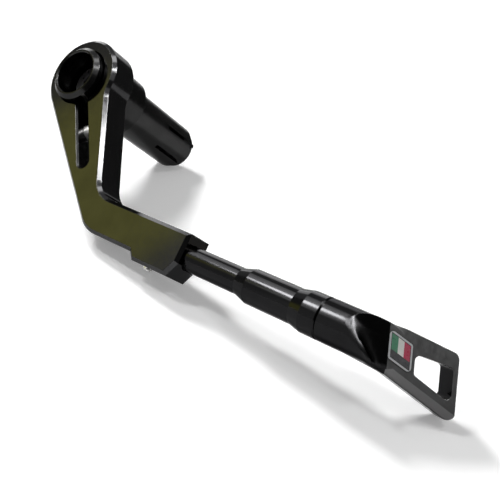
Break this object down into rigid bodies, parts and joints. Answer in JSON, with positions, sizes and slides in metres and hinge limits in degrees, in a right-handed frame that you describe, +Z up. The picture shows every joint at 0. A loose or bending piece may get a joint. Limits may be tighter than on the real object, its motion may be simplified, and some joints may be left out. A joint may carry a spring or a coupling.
{
  "type": "brake lever guard",
  "caption": "Brake lever guard for a handlebar end: split expander plug, clamped L-shaped arm, stepped rod and a bent, scooped and windowed end blade.",
  "frame": {"origin": "on the axis of the expander plug, at the shoulder that meets the end of the handlebar", "axes": "+Y along the plug into the handlebar, +X along the rod to the blade, +Z up"},
  "size_m": [0.1759, 0.0669, 0.0686],
  "materials": {
    "anodised_arm": "black anodised, glossy",
    "anodised_turned": "black anodised, turned",
    "anodised_blade": "black anodised, satin",
    "satin_expander": "dark grey anodised, satin",
    "screw_steel": "bright",
    "bolt_steel": "blackened",
    "badge_print": "printed, with a silver border"
  },
  "bodies": {
    "root": {"arm": "anodised_arm", "clamp_screw": "screw_steel", "bar_end_adapter": "anodised_turned", "expander_sleeve": "satin_expander", "expander_cone": "satin_expander", "expander_bolt": "bolt_steel", "bolt_washer": "bolt_steel", "rod": "anodised_turned", "rod_set_screw": "screw_steel", "end_blade": "anodised_blade", "badge": "badge_print"}
  },
  "joints": []
}
